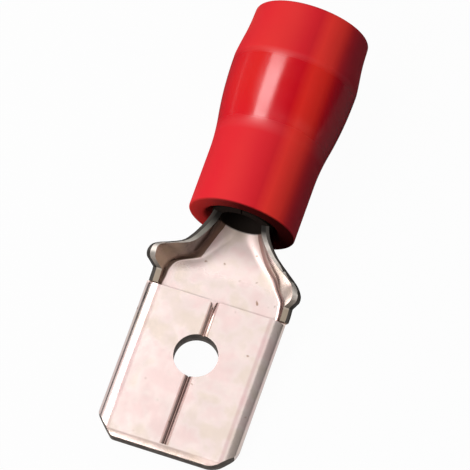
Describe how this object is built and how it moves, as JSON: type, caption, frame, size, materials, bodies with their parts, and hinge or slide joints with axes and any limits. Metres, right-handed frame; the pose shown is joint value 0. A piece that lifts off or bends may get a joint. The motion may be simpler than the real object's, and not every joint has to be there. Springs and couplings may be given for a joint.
{
  "type": "male spade terminal",
  "caption": "Folded sheet-metal tab with a detent hole, a flared trough neck and a rolled wire barrel inside a red insulating sleeve.",
  "frame": {"origin": "centre of the detent hole, halfway through the tab's thickness", "axes": "+X along the terminal, out of the tab's tip; +Z out of the face with the folded seam; +Y across the tab"},
  "size_m": [0.0204, 0.0071, 0.0056],
  "materials": {
    "tinned_brass": "satin tin plating over brass sheet",
    "red_vinyl": "glossy moulded vinyl"
  },
  "bodies": {
    "root": {"blade_terminal": "tinned_brass", "insulating_sleeve": "red_vinyl"}
  },
  "joints": []
}
